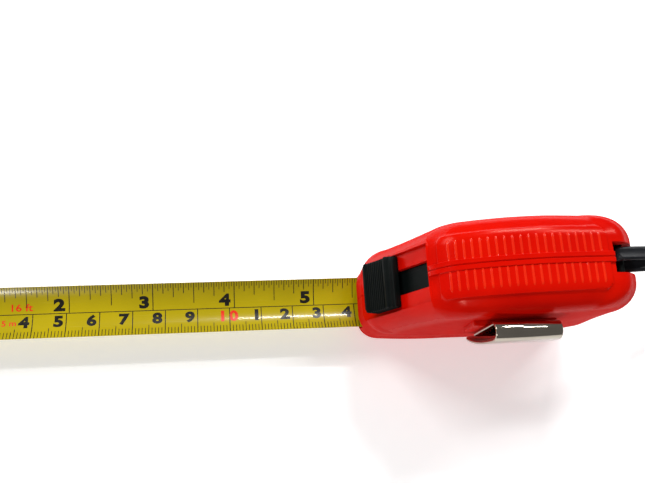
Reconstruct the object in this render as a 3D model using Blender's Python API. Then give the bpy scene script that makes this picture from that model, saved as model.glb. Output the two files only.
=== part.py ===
"""Pocket tape measure: steel blade on a sprung reel in a two-part case.

Everything is modelled in the case's own frame: x runs back from the mouth that
the blade leaves by, y is measured from the seam between the two case halves
(+y is the plain side, -y the side with the belt clip), and z from the base.
The datum empty moves that frame so that the whole object, without its strap,
is centred over the world's origin and stands on z = 0.
"""

from math import atan2, cos, pi, radians, sin, tau

import bmesh
import bpy
from mathutils import Vector

# Clearances
GAP = 0.0003                 # between pieces that touch
RUNNING_GAP = 0.0004         # round a turning or sliding piece

# Case
CASE_LENGTH = 0.073
CASE_HEIGHT = 0.0606
CASE_SIDE_HALF = 0.0147      # half thickness at the middle of the sides
EDGE_HALF = 0.01355          # half thickness where the sides meet the shoulder
NOSE_HALF = 0.0133           # the same, at the nose
WIDEST_X = 0.040
TAIL_TAPER = 0.0008
BASE_TUCK = 0.0021           # how much narrower each half is at the base
TUCK_HEIGHT = 0.025
ROOF_FLARE = 0.0007          # and how much wider at the roof
WALL = 0.002
SHOULDER = 0.0079            # rounding between top and sides
BASE_ROUNDING = 0.0063
NOSE_FOOT = 0.0084
CROWN = 0.014                # radius between the lock's slope and the roof
ROOF_TOP_X = 0.052
BACK_CORNER = 0.011
BACK_FOOT = 0.0074
NOSE_BREAK_Z = 0.0232        # where the nose leans back into the lock's slope
SLOPE = radians(61.6)
NOSE_BREAK_ROUNDING = 0.0068

# Blade
BLADE_OUT = 0.1405           # scale zero to mouth
BLADE_WIDTH = 0.016
BLADE_CUP = 0.00286          # how far the edges stand above the middle
BLADE_THICKNESS = 0.0002
BLADE_Z = 0.0075             # underside at the middle
END_LENGTH = 0.050           # stretch of blade modelled with the hook

# Reel
REEL_X = 0.042
REEL_Z = 0.032
COIL_RADIUS = 0.0212
HUB_RADIUS = 0.014
HUB_WALL = 0.0012
FLANGE_RADIUS = 0.023
FLANGE_THICKNESS = 0.001
FLANGE_Y = 0.0084            # inner face of each flange
ARBOR_RADIUS = 0.003
ARBOR_HALF = 0.0132
ARBOR_BOSS_RADIUS = 0.005
ARBOR_BOSS_Y = 0.0102
SPRING_TURNS = 6
SPRING_STRIP = 0.00035
SPRING_HALF_WIDTH = 0.0055

# Lock: d runs up the slope from the nose break, h stands out from the slope
LOCK_TRAVEL = 0.005
LOCK_HALF_WIDTH = 0.0076
LOCK_SHIFT = 0.0003           # the button sits a little to the plain side
LOCK_START = 0.0037
LOCK_END = 0.0152
SLIDER_HALF_WIDTH = 0.0035
RECESS_HALF_WIDTH = 0.0084
RECESS_END = 0.0288
RECESS_DEPTH = 0.0016
RECESS_FLOOR = 0.0016
TONGUE_DEPTH = 0.0029
TONGUE_THICKNESS = 0.0012
STEM_FRONT = 0.005
STEM_REAR = 0.0082
SHOE_TOP = 0.012

# Hook
HOOK_THICKNESS = 0.001
HOOK_PLAY = 0.001
HOOK_DROP_Z = 0.001
TANG_THICKNESS = 0.0008
TANG_LENGTH = 0.013
RIVET_RADIUS = 0.0011
RIVET_HEAD_RADIUS = 0.002
RIVET_OFFSETS = (0.006, 0.011)

# Belt clip
CLIP_X = 0.0378
CLIP_HALF_WIDTH = 0.0094
CLIP_THICKNESS = 0.0008
CLIP_PAD_Y = 0.0158          # face of the pad the clip is screwed to, from the seam
CLIP_PAD = ((0.0256, 0.0500), (0.0375, 0.0479))
CLIP_LEAF_Y = -(CLIP_PAD_Y + GAP + CLIP_THICKNESS / 2)
CLIP_FOLD_RADIUS = 0.0022
CLIP_FOLD_Y = CLIP_LEAF_Y - CLIP_FOLD_RADIUS
CLIP_FOLD_Z = 0.0546
CLIP_REACH = -CLIP_FOLD_Y + CLIP_FOLD_RADIUS + CLIP_THICKNESS / 2
CLIP_SCREW_Z = 0.043

# Screws through both halves: x, z
CASE_SCREWS = ((0.0155, 0.0155), (0.0665, 0.0120), (0.0149, 0.0320), (0.0680, 0.0400))
POST_RADIUS = 0.0022
SCREW_RADIUS = 0.0011
SCREW_HEAD_RADIUS = 0.0024
SCREW_HEAD_Y = 0.0096         # seat of the head, in the plain side
SCREW_END_Y = -0.0092
COLLAR_RADIUS = 0.0037
COLLAR_Y = 0.0082

# Strap
NOTCH_X = 0.0637
NOTCH_Z = 0.050
NOTCH_HALF_WIDTH = 0.0044
PIN_X = 0.0677
PIN_Z = 0.0545
PIN_RADIUS = 0.0012
PIN_HALF = 0.006
STRAP_WIDTH = 0.004
STRAP_THICKNESS = 0.0015

HOOK_FRONT = -BLADE_OUT - HOOK_THICKNESS
DATUM = Vector((-(HOOK_FRONT + CASE_LENGTH) / 2, (CLIP_REACH - CASE_SIDE_HALF) / 2, 0))
PROFILE_CENTRE = Vector((0.038, 0.031))
SEAM_HALF = GAP / 2
ROUND = 32
SMALL_ROUND = 16


# ---------------------------------------------------------------- scene helpers

def clear_scene():
    for obj in list(bpy.data.objects):
        bpy.data.objects.remove(obj)


def material(name, color, roughness, metallic=0.0):
    made = bpy.data.materials.new(name)
    made.use_nodes = True
    shader = made.node_tree.nodes["Principled BSDF"]
    shader.inputs["Base Color"].default_value = (*color, 1)
    shader.inputs["Roughness"].default_value = roughness
    shader.inputs["Metallic"].default_value = metallic
    made.diffuse_color = (*color, 1)
    return made


def empty(name, location, parent=None):
    made = bpy.data.objects.new(name, None)
    made.empty_display_size = 0.01
    made.location = location
    made.parent = parent
    bpy.context.collection.objects.link(made)
    return made


def solid(name, bm, look, parent, origin=(0, 0, 0)):
    """An object from bm, whose vertices are in the case frame, with its origin at origin."""
    bmesh.ops.recalc_face_normals(bm, faces=bm.faces)
    bmesh.ops.translate(bm, vec=-Vector(origin), verts=bm.verts)
    mesh = bpy.data.meshes.new(name)
    bm.to_mesh(mesh)
    bm.free()
    mesh.shade_smooth()
    mesh.set_sharp_from_angle(angle=radians(35))
    made = bpy.data.objects.new(name, mesh)
    made.parent = parent
    bpy.context.collection.objects.link(made)
    if look:
        mesh.materials.append(look)
    return made


def cutter(name, bm, parent):
    made = solid(name, bm, None, parent)
    made.hide_render = True
    made.display_type = "WIRE"
    return made


def combine(target, other, operation):
    boolean = target.modifiers.new(other.name, "BOOLEAN")
    boolean.operation = operation
    boolean.solver = "EXACT"
    boolean.object = other


def cut(target, *others):
    for other in others:
        combine(target, other, "DIFFERENCE")


# ---------------------------------------------------------------- shape helpers

def loft(rings, cyclic=False):
    """A closed body through rings of equally many points; a ring of one point is a pole."""
    bm = bmesh.new()
    loops = [[bm.verts.new(p) for p in ring] for ring in rings]
    pairs = list(zip(loops, loops[1:])) + ([(loops[-1], loops[0])] if cyclic else [])
    for low, high in pairs:
        count = max(len(low), len(high))
        for i in range(count):
            j = (i + 1) % count
            if len(high) == 1:
                bm.faces.new((low[i], low[j], high[0]))
            elif len(low) == 1:
                bm.faces.new((low[0], high[j], high[i]))
            else:
                bm.faces.new((low[i], low[j], high[j], high[i]))
    if not cyclic:
        for loop in (loops[0], loops[-1]):
            if len(loop) > 2:
                bm.faces.new(loop)
    return bm


def prism(outline, low, high):
    """The x, z outline extruded from y = low to y = high."""
    return loft([[(x, y, z) for x, z in outline] for y in (low, high)])


def box(x, y, z):
    return prism([(x[0], z[0]), (x[1], z[0]), (x[1], z[1]), (x[0], z[1])], *y)


def turned(profile, centre, axis="Y", segments=ROUND, cyclic=False):
    """The (radius, height) profile turned about an axis through centre; radius 0 is a pole."""
    rings = []
    for radius, height in profile:
        if radius == 0:
            angles = (0,)
        else:
            angles = [tau * i / segments for i in range(segments)]
        ring = []
        for angle in angles:
            a, b = radius * cos(angle), radius * sin(angle)
            offset = (a, height, b) if axis == "Y" else (a, b, height)
            ring.append(Vector(centre) + Vector(offset))
        rings.append(ring)
    return loft(rings, cyclic)


def rod(x, z, radius, low, high, segments=SMALL_ROUND):
    """A round bar along y."""
    return turned([(radius, low), (radius, high)], (x, 0, z), "Y", segments)


def arc(x, z, radius, start, end, steps):
    """Points on a circle in the x, z plane, angles in degrees."""
    turns = [radians(start + (end - start) * i / steps) for i in range(steps + 1)]
    return [Vector((x + radius * cos(t), z + radius * sin(t))) for t in turns]


def line(start, end, steps):
    """Points strictly between start and end."""
    return [start.lerp(end, i / steps) for i in range(1, steps)]


def smooth(value):
    value = min(max(value, 0), 1)
    return value * value * (3 - 2 * value)


def on_slope(d, h):
    """The case frame's x, z of a point d up the lock's slope and h out from it."""
    rise = d * sin(SLOPE) + h * cos(SLOPE)
    return Vector((d * cos(SLOPE) - h * sin(SLOPE), NOSE_BREAK_Z + rise))


# ---------------------------------------------------------------- case

def crown_and_roof():
    """The arc that leaves the lock's slope and the flatter arc it runs into, to the roof's top."""
    start = on_slope(RECESS_END + 0.0004, 0)
    crown = start + CROWN * Vector((sin(SLOPE), -cos(SLOPE)))
    across, below = crown.x - ROOF_TOP_X, crown.y - CASE_HEIGHT
    radius = (across * across + below * below - CROWN * CROWN) / (-2 * (below + CROWN))
    roof = Vector((ROOF_TOP_X, CASE_HEIGHT - radius))
    meet = atan2(crown.y - roof.y, crown.x - roof.x) * 180 / pi
    turn = 90 + SLOPE * 180 / pi
    return (
        arc(crown.x, crown.y, CROWN, turn, meet, 4)
        + arc(roof.x, roof.y, radius, meet, 90, 5)[1:]
    )


def case_outline():
    """The side view, clockwise from the foot of the nose."""
    kink = 90 - SLOPE * 180 / pi
    foot = arc(NOSE_FOOT, NOSE_FOOT, NOSE_FOOT, 270, 180, 4)
    nose_z = NOSE_BREAK_Z - NOSE_BREAK_ROUNDING * sin(radians(kink)) / (1 + cos(radians(kink)))
    brow = arc(NOSE_BREAK_ROUNDING, nose_z, NOSE_BREAK_ROUNDING, 180, 180 - kink, 2)
    roof = crown_and_roof()
    back = CASE_LENGTH - BACK_CORNER
    shoulder = arc(back, CASE_HEIGHT - BACK_CORNER, BACK_CORNER, 90, 0, 5)
    heel = arc(CASE_LENGTH - BACK_FOOT, BACK_FOOT, BACK_FOOT, 0, -90, 4)
    return (
        foot
        + line(foot[-1], brow[0], 3)
        + brow
        + line(brow[-1], roof[0], 5)
        + roof
        + line(roof[-1], shoulder[0], 3)
        + shoulder
        + line(shoulder[-1], heel[0], 5)
        + heel
        + line(heel[-1], foot[0], 6)
    )


def half_width(x, z):
    """The case's half thickness where the sides meet the rounding at its edge."""
    if x < WIDEST_X:
        plan = NOSE_HALF + (EDGE_HALF - NOSE_HALF) * sin(pi / 2 * max(x, 0) / WIDEST_X)
    else:
        plan = EDGE_HALF - TAIL_TAPER * ((x - WIDEST_X) / (CASE_LENGTH - WIDEST_X)) ** 2
    middle = CASE_HEIGHT / 2
    flare = ROOF_FLARE * smooth((z - middle) / middle)
    return plan + flare - BASE_TUCK * (1 - smooth(z / TUCK_HEIGHT))


def case_rings(side, first_y, inset, steps):
    """Rings from the seam to the middle of one side, inset from the case's surface."""
    outline = case_outline()
    count = len(outline)
    points = []
    for i, p in enumerate(outline):
        along = (outline[(i + 1) % count] - outline[i - 1]).normalized()
        normal = Vector((-along.y, along.x))
        reach = normal.dot(p - PROFILE_CENTRE)
        rounding = BASE_ROUNDING + (SHOULDER - BASE_ROUNDING) * smooth((p.y - 0.002) / 0.012)
        half = half_width(p.x, p.y)
        lean = atan2(2 * (CASE_SIDE_HALF - half), reach)
        points.append((p, reach, max(rounding - inset, 0.001), half - inset, pi / 2 - lean))

    def ring(share, shrink=1.0):
        made = []
        for p, reach, fillet, half, sweep in points:
            turn = sweep * share
            scale = 1 - (inset + fillet * (1 - cos(turn))) / reach
            y = half - fillet * (1 - sin(turn))
            y += (CASE_SIDE_HALF - inset - y) * (1 - shrink * shrink)
            flat = PROFILE_CENTRE + (p - PROFILE_CENTRE) * scale * shrink
            made.append((flat.x, side * y, flat.y))
        return made

    seam = [(x, side * first_y, z) for x, y, z in ring(0)]
    middle = [(PROFILE_CENTRE.x, side * (CASE_SIDE_HALF - inset), PROFILE_CENTRE.y)]
    rounded = [ring(i / steps) for i in range(steps + 1)]
    return [seam] + rounded + [ring(1, k) for k in (0.66, 0.33)] + [middle]


def slope_box(half_y, d, h):
    """A box laid along the lock's slope."""
    corners = [on_slope(d[i], h[j]) for i, j in ((0, 0), (1, 0), (1, 1), (0, 1))]
    return prism([tuple(c) for c in corners], -half_y, half_y)


def case_cavity(side, datum):
    """The hollow of one half, less the posts, bosses and walls that stand in it."""
    tag = "left" if side < 0 else "right"
    cavity = cutter(f"cut_cavity_{tag}", loft(case_rings(side, -0.001, WALL, 4)), datum)
    far = side * 0.020
    near = -side * 0.002
    for i, (x, z) in enumerate(CASE_SCREWS):
        cut(cavity, cutter(f"cut_post_{tag}_{i + 1}", rod(x, z, POST_RADIUS, near, far), datum))
    boss = rod(REEL_X, REEL_Z, ARBOR_BOSS_RADIUS, side * ARBOR_BOSS_Y, far)
    cut(cavity, cutter(f"cut_arbor_boss_{tag}", boss, datum))
    if side < 0:
        clip_boss = rod(CLIP_X, CLIP_SCREW_Z, 0.0032, side * 0.0106, far)
        cut(cavity, cutter("cut_clip_boss", clip_boss, datum))
        return cavity
    for i, (x, z) in enumerate(CASE_SCREWS):
        collar = rod(x, z, COLLAR_RADIUS, COLLAR_Y, far, 20)
        cut(cavity, cutter(f"cut_collar_{i + 1}", collar, datum))
    return cavity


def shared_walls(datum):
    """The blocks that stay solid inside both halves: strap notch, lock floor and chin."""
    notch = box(
        (NOTCH_X - 0.0014, CASE_LENGTH + 0.001),
        (-0.0075, 0.0075),
        (NOTCH_Z - 0.0014, CASE_HEIGHT + 0.006),
    )
    floor = slope_box(0.0115, (-0.006, RECESS_END + 0.0016), (-RECESS_DEPTH - RECESS_FLOOR, 0.006))
    chin = box((-0.001, 0.006), (-0.0095, 0.0095), (-0.001, BLADE_Z - 0.0019))
    return (
        cutter("cut_notch_walls", notch, datum),
        cutter("cut_lock_floor", floor, datum),
        cutter("cut_chin", chin, datum),
    )


def shared_openings(datum):
    """The cuts that go through both halves."""
    mouth_z = (BLADE_Z - 0.0023, BLADE_Z + 0.0045)
    way_end = RECESS_END + LOCK_TRAVEL + 0.0009
    ledge = RECESS_END - GAP
    outline = [
        (0.003, -0.006),
        (way_end, -0.006),
        (way_end, GAP - TONGUE_DEPTH),
        (ledge, GAP - TONGUE_DEPTH),
        (ledge, 0.001 - RECESS_DEPTH),
        (0.003, 0.001 - RECESS_DEPTH),
    ]
    slot_half = SLIDER_HALF_WIDTH + GAP
    slot = prism([tuple(on_slope(d, h)) for d, h in outline], -slot_half, slot_half)
    return (
        cutter("cut_mouth", box((-0.002, 0.0067), (-0.0083, 0.0083), mouth_z), datum),
        cutter(
            "cut_recess",
            slope_box(RECESS_HALF_WIDTH, (-0.012, RECESS_END), (-RECESS_DEPTH, 0.012)),
            datum,
        ),
        cutter("cut_slot", slot, datum),
        cutter(
            "cut_notch",
            box(
                (NOTCH_X, CASE_LENGTH + 0.003),
                (-NOTCH_HALF_WIDTH, NOTCH_HALF_WIDTH),
                (NOTCH_Z, CASE_HEIGHT + 0.003),
            ),
            datum,
        ),
        cutter("cut_pin_hole", rod(PIN_X, PIN_Z, PIN_RADIUS + GAP, -0.0064, 0.0064), datum),
        cutter(
            "cut_arbor_socket",
            rod(REEL_X, REEL_Z, ARBOR_RADIUS + GAP, -ARBOR_HALF - GAP, ARBOR_HALF + GAP),
            datum,
        ),
    )


def case_half(side, look, datum, walls, openings):
    tag = "left" if side < 0 else "right"
    shell = solid(f"case_{tag}", loft(case_rings(side, SEAM_HALF, 0, 4)), look, datum)
    if side < 0:
        pad = box(CLIP_PAD[0], (-CLIP_PAD_Y, -0.0125), CLIP_PAD[1])
        combine(shell, cutter("add_clip_pad", pad, datum), "UNION")
    cavity = case_cavity(side, datum)
    cut(cavity, *walls)
    cut(shell, cavity, *openings)
    for i, (x, z) in enumerate(CASE_SCREWS):
        if side < 0:
            hole = rod(x, z, SCREW_RADIUS + 0.0002, SCREW_END_Y - 0.0005, 0.001)
        else:
            profile = [
                (SCREW_RADIUS + 0.0004, -0.001),
                (SCREW_RADIUS + 0.0004, SCREW_HEAD_Y),
                (SCREW_HEAD_RADIUS + 0.0004, SCREW_HEAD_Y),
                (SCREW_HEAD_RADIUS + 0.0004, 0.020),
            ]
            hole = turned(profile, (x, 0, z), "Y", SMALL_ROUND)
        cut(shell, cutter(f"cut_screw_{tag}_{i + 1}", hole, datum))
    if side < 0:
        hole = rod(CLIP_X, CLIP_SCREW_Z, 0.0017, -0.020, -0.0113)
        cut(shell, cutter("cut_clip_screw", hole, datum))
    return shell


def case_screws(look, datum):
    for i, (x, z) in enumerate(CASE_SCREWS):
        seat = SCREW_HEAD_Y + GAP
        profile = [
            (0, SCREW_END_Y),
            (SCREW_RADIUS * 0.5, SCREW_END_Y + 0.0002),
            (SCREW_RADIUS, SCREW_END_Y + 0.0014),
            (SCREW_RADIUS, seat),
            (SCREW_HEAD_RADIUS, seat),
            (SCREW_HEAD_RADIUS, seat + 0.0009),
            (SCREW_HEAD_RADIUS * 0.7, seat + 0.0015),
            (0, seat + 0.0017),
        ]
        solid(f"case_screw_{i + 1}", turned(profile, (x, 0, z), "Y", SMALL_ROUND), look, datum)


def strap_pin(look, datum):
    solid("strap_pin", rod(PIN_X, PIN_Z, PIN_RADIUS, -PIN_HALF, PIN_HALF), look, datum)


# ---------------------------------------------------------------- blade and hook

def cupped(x, underside, cup, thickness, half):
    """A cross-section of a cupped strip at x: its upper edge, then its lower edge back."""
    count = 10
    across = [half * (2 * i / count - 1) for i in range(count + 1)]
    rise = [underside + cup * (y / (BLADE_WIDTH / 2)) ** 2 for y in across]
    upper = [(x, y, z + thickness) for y, z in zip(across, rise)]
    lower = [(x, y, z) for y, z in zip(across, rise)]
    return upper + lower[::-1]


def strip(stations, thickness, half=BLADE_WIDTH / 2):
    """A cupped strip through (x, underside, cup) stations."""
    return loft([cupped(x, z, cup, thickness, half) for x, z, cup in stations])


def blade_parts(look, slide, datum):
    tip = -BLADE_OUT + HOOK_PLAY + GAP
    joint = -BLADE_OUT + END_LENGTH
    origin = (-BLADE_OUT, 0, BLADE_Z)
    end = [(tip, BLADE_Z, BLADE_CUP), (joint, BLADE_Z, BLADE_CUP)]
    blade_end = solid("blade_end", strip(end, BLADE_THICKNESS), look, slide, origin)
    for i, offset in enumerate(RIVET_OFFSETS):
        hole = turned(
            [(RIVET_RADIUS + 0.0002, 0.004), (RIVET_RADIUS + 0.0002, 0.012)],
            (-BLADE_OUT + offset, 0, 0),
            "Z",
            SMALL_ROUND,
        )
        cut(blade_end, cutter(f"cut_blade_rivet_{i + 1}", hole, datum))
    leave = 0.010
    meet = REEL_X - 0.002
    coil_foot = REEL_Z - COIL_RADIUS - BLADE_THICKNESS - GAP
    stations = [(joint + GAP, BLADE_Z, BLADE_CUP)]
    for i in range(7):
        share = i / 6
        x = leave + (meet - leave) * share
        lift = smooth(share) * (coil_foot - BLADE_Z)
        stations.append((x, BLADE_Z + lift, BLADE_CUP * (1 - smooth(share))))
    solid("blade_run", strip(stations, BLADE_THICKNESS), look, slide, origin)


def hook_lip():
    """The turned-down end of the hook, its top following the blade's cup."""
    half = BLADE_WIDTH / 2 - 0.0002
    top = BLADE_Z - 0.00025
    count = 10
    across = [half * (2 * i / count - 1) for i in range(count + 1)]
    ring = [(y, top + BLADE_CUP * (y / (BLADE_WIDTH / 2)) ** 2) for y in across]
    corner = 0.002
    for start, y in ((0, half - corner), (-90, corner - half)):
        for i in range(4):
            angle = radians(start - 30 * i)
            ring.append((y + corner * cos(angle), HOOK_DROP_Z + corner + corner * sin(angle)))
    return loft([[(x, y, z) for y, z in ring] for x in (HOOK_FRONT, -BLADE_OUT)])


def end_hook(look, play, datum):
    origin = (-BLADE_OUT, 0, BLADE_Z)
    hook = solid("end_hook", hook_lip(), look, play, origin)
    under = BLADE_Z - 0.00025 - TANG_THICKNESS
    ends = (-BLADE_OUT - 0.0007, -BLADE_OUT + TANG_LENGTH)
    tang = strip([(x, under, BLADE_CUP) for x in ends], TANG_THICKNESS, BLADE_WIDTH / 2 - 0.0004)
    combine(hook, cutter("add_hook_tang", tang, datum), "UNION")
    for i, offset in enumerate(RIVET_OFFSETS):
        radius = RIVET_RADIUS + 0.00025
        x = -BLADE_OUT + offset
        ring = []
        for turn in range(SMALL_ROUND + 2):
            past = turn > SMALL_ROUND // 2
            angle = tau * (turn - past) / SMALL_ROUND - pi / 2
            shift = -HOOK_PLAY if past else 0
            ring.append((x + shift + radius * cos(angle), radius * sin(angle)))
        slot = loft([[(a, b, z) for a, b in ring] for z in (0.004, 0.012)])
        cut(hook, cutter(f"cut_hook_slot_{i + 1}", slot, datum))


def hook_rivets(look, slide):
    foot = BLADE_Z - 0.00025 - TANG_THICKNESS - 0.0002
    seat = BLADE_Z + BLADE_THICKNESS + 0.0003
    for i, offset in enumerate(RIVET_OFFSETS):
        profile = [
            (0, foot - 0.0004),
            (RIVET_HEAD_RADIUS * 0.8, foot - 0.0004),
            (RIVET_HEAD_RADIUS, foot),
            (RIVET_RADIUS, foot),
            (RIVET_RADIUS, seat),
            (RIVET_HEAD_RADIUS, seat),
            (RIVET_HEAD_RADIUS * 0.7, seat + 0.0004),
            (0, seat + 0.0006),
        ]
        place = (-BLADE_OUT + offset, 0, 0)
        shape = turned(profile, place, "Z", SMALL_ROUND)
        solid(f"hook_rivet_{i + 1}", shape, look, slide, (-BLADE_OUT, 0, BLADE_Z))


# ---------------------------------------------------------------- reel

def reel_parts(looks, axis):
    centre = (REEL_X, 0, REEL_Z)
    bore = ARBOR_RADIUS + RUNNING_GAP
    web = FLANGE_Y + FLANGE_THICKNESS
    lid_y = FLANGE_Y + GAP
    reel = [
        (bore, -web),
        (FLANGE_RADIUS, -web),
        (FLANGE_RADIUS, -FLANGE_Y),
        (HUB_RADIUS, -FLANGE_Y),
        (HUB_RADIUS, FLANGE_Y),
        (HUB_RADIUS - HUB_WALL, FLANGE_Y),
        (HUB_RADIUS - HUB_WALL, -FLANGE_Y),
        (bore, -FLANGE_Y),
    ]
    lid = [
        (bore, lid_y),
        (FLANGE_RADIUS, lid_y),
        (FLANGE_RADIUS, lid_y + FLANGE_THICKNESS),
        (bore, lid_y + FLANGE_THICKNESS),
    ]
    inner = HUB_RADIUS + GAP
    half = BLADE_WIDTH / 2
    coil = [(inner, -half), (COIL_RADIUS, -half), (COIL_RADIUS, half), (inner, half)]
    for name, profile, look in (
        ("reel", reel, looks["reel"]),
        ("reel_lid", lid, looks["reel"]),
        ("blade_coil", coil, looks["blade"]),
    ):
        solid(name, turned(profile, centre, "Y", 48, cyclic=True), look, axis, centre)
    solid("return_spring", spiral_spring(centre), looks["steel"], axis, centre)


def spiral_spring(centre):
    inner = ARBOR_RADIUS + 0.0009
    outer = HUB_RADIUS - HUB_WALL - 0.0006
    per_turn = 20
    rings = []
    for i in range(SPRING_TURNS * per_turn + 1):
        share = i / (SPRING_TURNS * per_turn)
        angle = tau * SPRING_TURNS * share
        ring = []
        for radius, y in ((0, -1), (0, 1), (1, 1), (1, -1)):
            r = inner + (outer - inner) * share + (radius - 0.5) * SPRING_STRIP
            offset = (r * cos(angle), y * SPRING_HALF_WIDTH, r * sin(angle))
            ring.append(Vector(centre) + Vector(offset))
        rings.append(ring)
    return loft(rings)


def arbor(look, datum):
    profile = [
        (0, -ARBOR_HALF),
        (ARBOR_RADIUS, -ARBOR_HALF),
        (ARBOR_RADIUS, ARBOR_HALF),
        (0, ARBOR_HALF),
    ]
    centre = (REEL_X, 0, REEL_Z)
    post = solid("arbor", turned(profile, centre, "Y", 24), look, datum)
    slot = box(
        (REEL_X - 0.0003, REEL_X + 0.0003),
        (-SPRING_HALF_WIDTH - 0.0005, SPRING_HALF_WIDTH + 0.0005),
        (REEL_Z, REEL_Z + 0.004),
    )
    cut(post, cutter("cut_arbor_slot", slot, datum))


# ---------------------------------------------------------------- lock

def lock_parts(looks, slide):
    centre = on_slope((LOCK_START + LOCK_END) / 2, 0)
    origin = (centre.x, 0, centre.y)
    under = GAP - RECESS_DEPTH
    thumb = [
        (LOCK_START, 0.0029),
        (LOCK_START + 0.0045, 0.0021),
        (LOCK_START + 0.0085, 0.0019),
        (LOCK_START + 0.0096, 0.0023),
        (LOCK_START + 0.0106, 0.0019),
        (LOCK_END, 0.0007),
        (LOCK_END, under),
        (LOCK_START - 0.0005, under),
        (LOCK_START - 0.0005, 0.0024),
    ]
    sides = (LOCK_SHIFT - LOCK_HALF_WIDTH, LOCK_SHIFT + LOCK_HALF_WIDTH)
    button = prism([tuple(on_slope(d, h)) for d, h in thumb], *sides)
    solid("lock_button", button, looks["lock"], slide, origin)

    root = 0.0125
    tongue_low = -TONGUE_DEPTH - TONGUE_THICKNESS
    tongue_end = RECESS_END + 0.0004
    stem_top = on_slope(0.0046, under - GAP)
    outline = [
        stem_top,
        on_slope(root, under - GAP),
        on_slope(root, -TONGUE_DEPTH),
        on_slope(tongue_end, -TONGUE_DEPTH),
        on_slope(tongue_end, tongue_low),
        on_slope(root + 0.001, tongue_low),
        Vector((STEM_REAR, 0.029)),
        Vector((STEM_REAR, SHOE_TOP + GAP)),
        Vector((STEM_FRONT, SHOE_TOP + GAP)),
        Vector((STEM_FRONT, stem_top.y - 0.001)),
    ]
    slider = prism([tuple(p) for p in outline], -SLIDER_HALF_WIDTH, SLIDER_HALF_WIDTH)
    solid("lock_slider", slider, looks["lock"], slide, origin)
    solid("brake_shoe", brake_shoe(), looks["rubber"], slide, origin)


def brake_shoe():
    """A bridge whose two feet press on the blade beside its middle."""
    foot_in, foot_out = 0.004, 0.0065

    def above_blade(y):
        return BLADE_Z + BLADE_THICKNESS + GAP + BLADE_CUP * (y / (BLADE_WIDTH / 2)) ** 2

    arch = BLADE_Z + 0.0025
    half = [(foot_in - 0.0005, arch), (foot_in, above_blade(foot_in)), (foot_out, above_blade(foot_out))]
    ring = half + [(foot_out, SHOE_TOP), (-foot_out, SHOE_TOP)] + [(-y, z) for y, z in half[::-1]]
    return loft([[(x, y, z) for y, z in ring] for x in (0.0046, 0.0086)])


# ---------------------------------------------------------------- belt clip

def clip_centreline():
    """The strip's middle line in the y, z plane, from inner leaf to tip."""
    reach = CLIP_THICKNESS / 2 - CLIP_REACH
    points = [Vector((CLIP_LEAF_Y, 0.0365)), Vector((CLIP_LEAF_Y, 0.0455))]
    points += arc(CLIP_FOLD_Y, CLIP_FOLD_Z, CLIP_FOLD_RADIUS, 0, 180, 10)
    for out, z in ((0.0003, 0.0495), (0.0009, 0.0445), (0.0018, 0.0395), (0.0029, 0.0350)):
        points.append(Vector((reach + out, z)))
    return points + [Vector((reach + 0.0041, 0.0315)), Vector((reach + 0.0051, 0.0292))]


def belt_clip(look, hinge, datum):
    middle = clip_centreline()
    sides = ([], [])
    for i, p in enumerate(middle):
        along = (middle[min(i + 1, len(middle) - 1)] - middle[max(i - 1, 0)]).normalized()
        normal = Vector((-along.y, along.x)) * CLIP_THICKNESS / 2
        sides[0].append(p + normal)
        sides[1].append(p - normal)
    ring = sides[0] + sides[1][::-1]
    ends = (CLIP_X - CLIP_HALF_WIDTH, CLIP_X + CLIP_HALF_WIDTH)
    shape = loft([[(x, p.x, p.y) for p in ring] for x in ends])
    clip = solid("belt_clip", shape, look, hinge, (CLIP_X, CLIP_FOLD_Y, CLIP_FOLD_Z))
    hole = rod(CLIP_X, CLIP_SCREW_Z, 0.0018, CLIP_LEAF_Y - 0.0009, CLIP_LEAF_Y + 0.0009)
    cut(clip, cutter("cut_clip_leaf", hole, datum))


def clip_screw(look, datum):
    seat = CLIP_LEAF_Y - CLIP_THICKNESS / 2 - GAP
    profile = [
        (0, seat - 0.0014),
        (0.0020, seat - 0.0011),
        (0.0027, seat - 0.0003),
        (0.0027, seat),
        (0.0014, seat),
        (0.0014, -0.0122),
        (0, -0.0116),
    ]
    solid("clip_screw", turned(profile, (CLIP_X, 0, CLIP_SCREW_Z), "Y", SMALL_ROUND), look, datum)


# ---------------------------------------------------------------- strap

STRAP_WRAP = PIN_RADIUS + 0.00035 + STRAP_THICKNESS / 2
STRAP_ROUTE = (
    (0.0720, 0.0016, 0.0569),
    (0.0770, 0.0017, 0.0562),
    (0.0835, 0.0021, 0.0539),
    (0.0905, 0.0029, 0.0490),
    (0.0965, 0.0042, 0.0415),
    (0.1010, 0.0060, 0.0320),
    (0.1045, 0.0082, 0.0215),
    (0.1085, 0.0105, 0.0112),
    (0.1140, 0.0128, 0.0040),
    (0.1220, 0.0150, 0.0012),
    (0.1340, 0.0170, 0.0009),
    (0.1460, 0.0176, 0.0009),
    (0.1580, 0.0152, 0.0009),
    (0.1660, 0.0095, 0.0009),
    (0.1690, 0.0015, 0.0009),
    (0.1665, -0.0070, 0.0009),
    (0.1585, -0.0132, 0.0009),
    (0.1460, -0.0160, 0.0009),
    (0.1335, -0.0156, 0.0009),
    (0.1215, -0.0138, 0.0012),
    (0.1135, -0.0118, 0.0040),
    (0.1078, -0.0095, 0.0112),
    (0.1035, -0.0070, 0.0212),
    (0.0998, -0.0050, 0.0315),
    (0.0952, -0.0034, 0.0405),
    (0.0892, -0.0020, 0.0477),
    (0.0825, -0.0014, 0.0522),
    (0.0765, -0.0011, 0.0540),
    (0.0720, -0.0010, 0.0534),
)


def round_pin(degrees, y):
    angle = radians(degrees)
    return (PIN_X + STRAP_WRAP * cos(angle), y, PIN_Z + STRAP_WRAP * sin(angle))


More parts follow.
